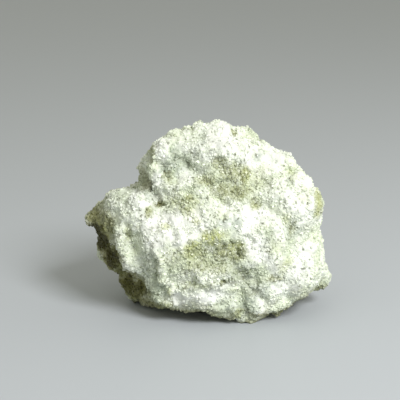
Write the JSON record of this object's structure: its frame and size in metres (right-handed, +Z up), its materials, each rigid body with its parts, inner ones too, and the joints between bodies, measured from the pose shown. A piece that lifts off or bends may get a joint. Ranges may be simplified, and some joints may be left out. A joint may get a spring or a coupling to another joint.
{
  "type": "mineral specimen",
  "caption": "Hand-sized lump of pale green grossular garnet in white sugary matrix, resting on its underside.",
  "frame": {"origin": "on the surface that it stands on, under the middle of its bounding box", "axes": "+X along its length, +Y towards its back, +Z up; the best face looks along -Y"},
  "size_m": [0.0628, 0.044, 0.0481],
  "materials": {
    "garnet_rock": "sugary, broken, matt with glinting grains"
  },
  "bodies": {
    "root": {"garnet_in_matrix": "garnet_rock"}
  },
  "joints": []
}
